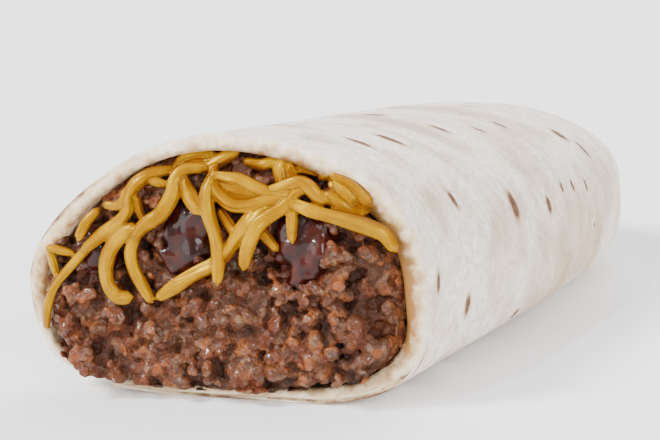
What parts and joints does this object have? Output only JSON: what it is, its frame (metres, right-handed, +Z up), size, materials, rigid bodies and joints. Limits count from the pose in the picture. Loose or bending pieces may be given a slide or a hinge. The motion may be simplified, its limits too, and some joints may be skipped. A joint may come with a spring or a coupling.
{
  "type": "burrito",
  "caption": "Flour tortilla rolled round seasoned ground beef, red sauce and melted shredded cheddar, open at the front end and tucked shut at the far end.",
  "frame": {"origin": "middle of the underside, on the surface that the roll lies on", "axes": "+Z up, Y along the roll with the open end toward -Y, +X to the right as the open end is seen"},
  "size_m": [0.0753, 0.1773, 0.0501],
  "materials": {
    "tortilla": "matte",
    "beef": "glossy",
    "sauce": "glossy",
    "cheese": "satin"
  },
  "bodies": {
    "root": {"tortilla": "tortilla", "ground_beef": "beef", "red_sauce": "sauce", "shredded_cheese": "cheese"}
  },
  "joints": []
}
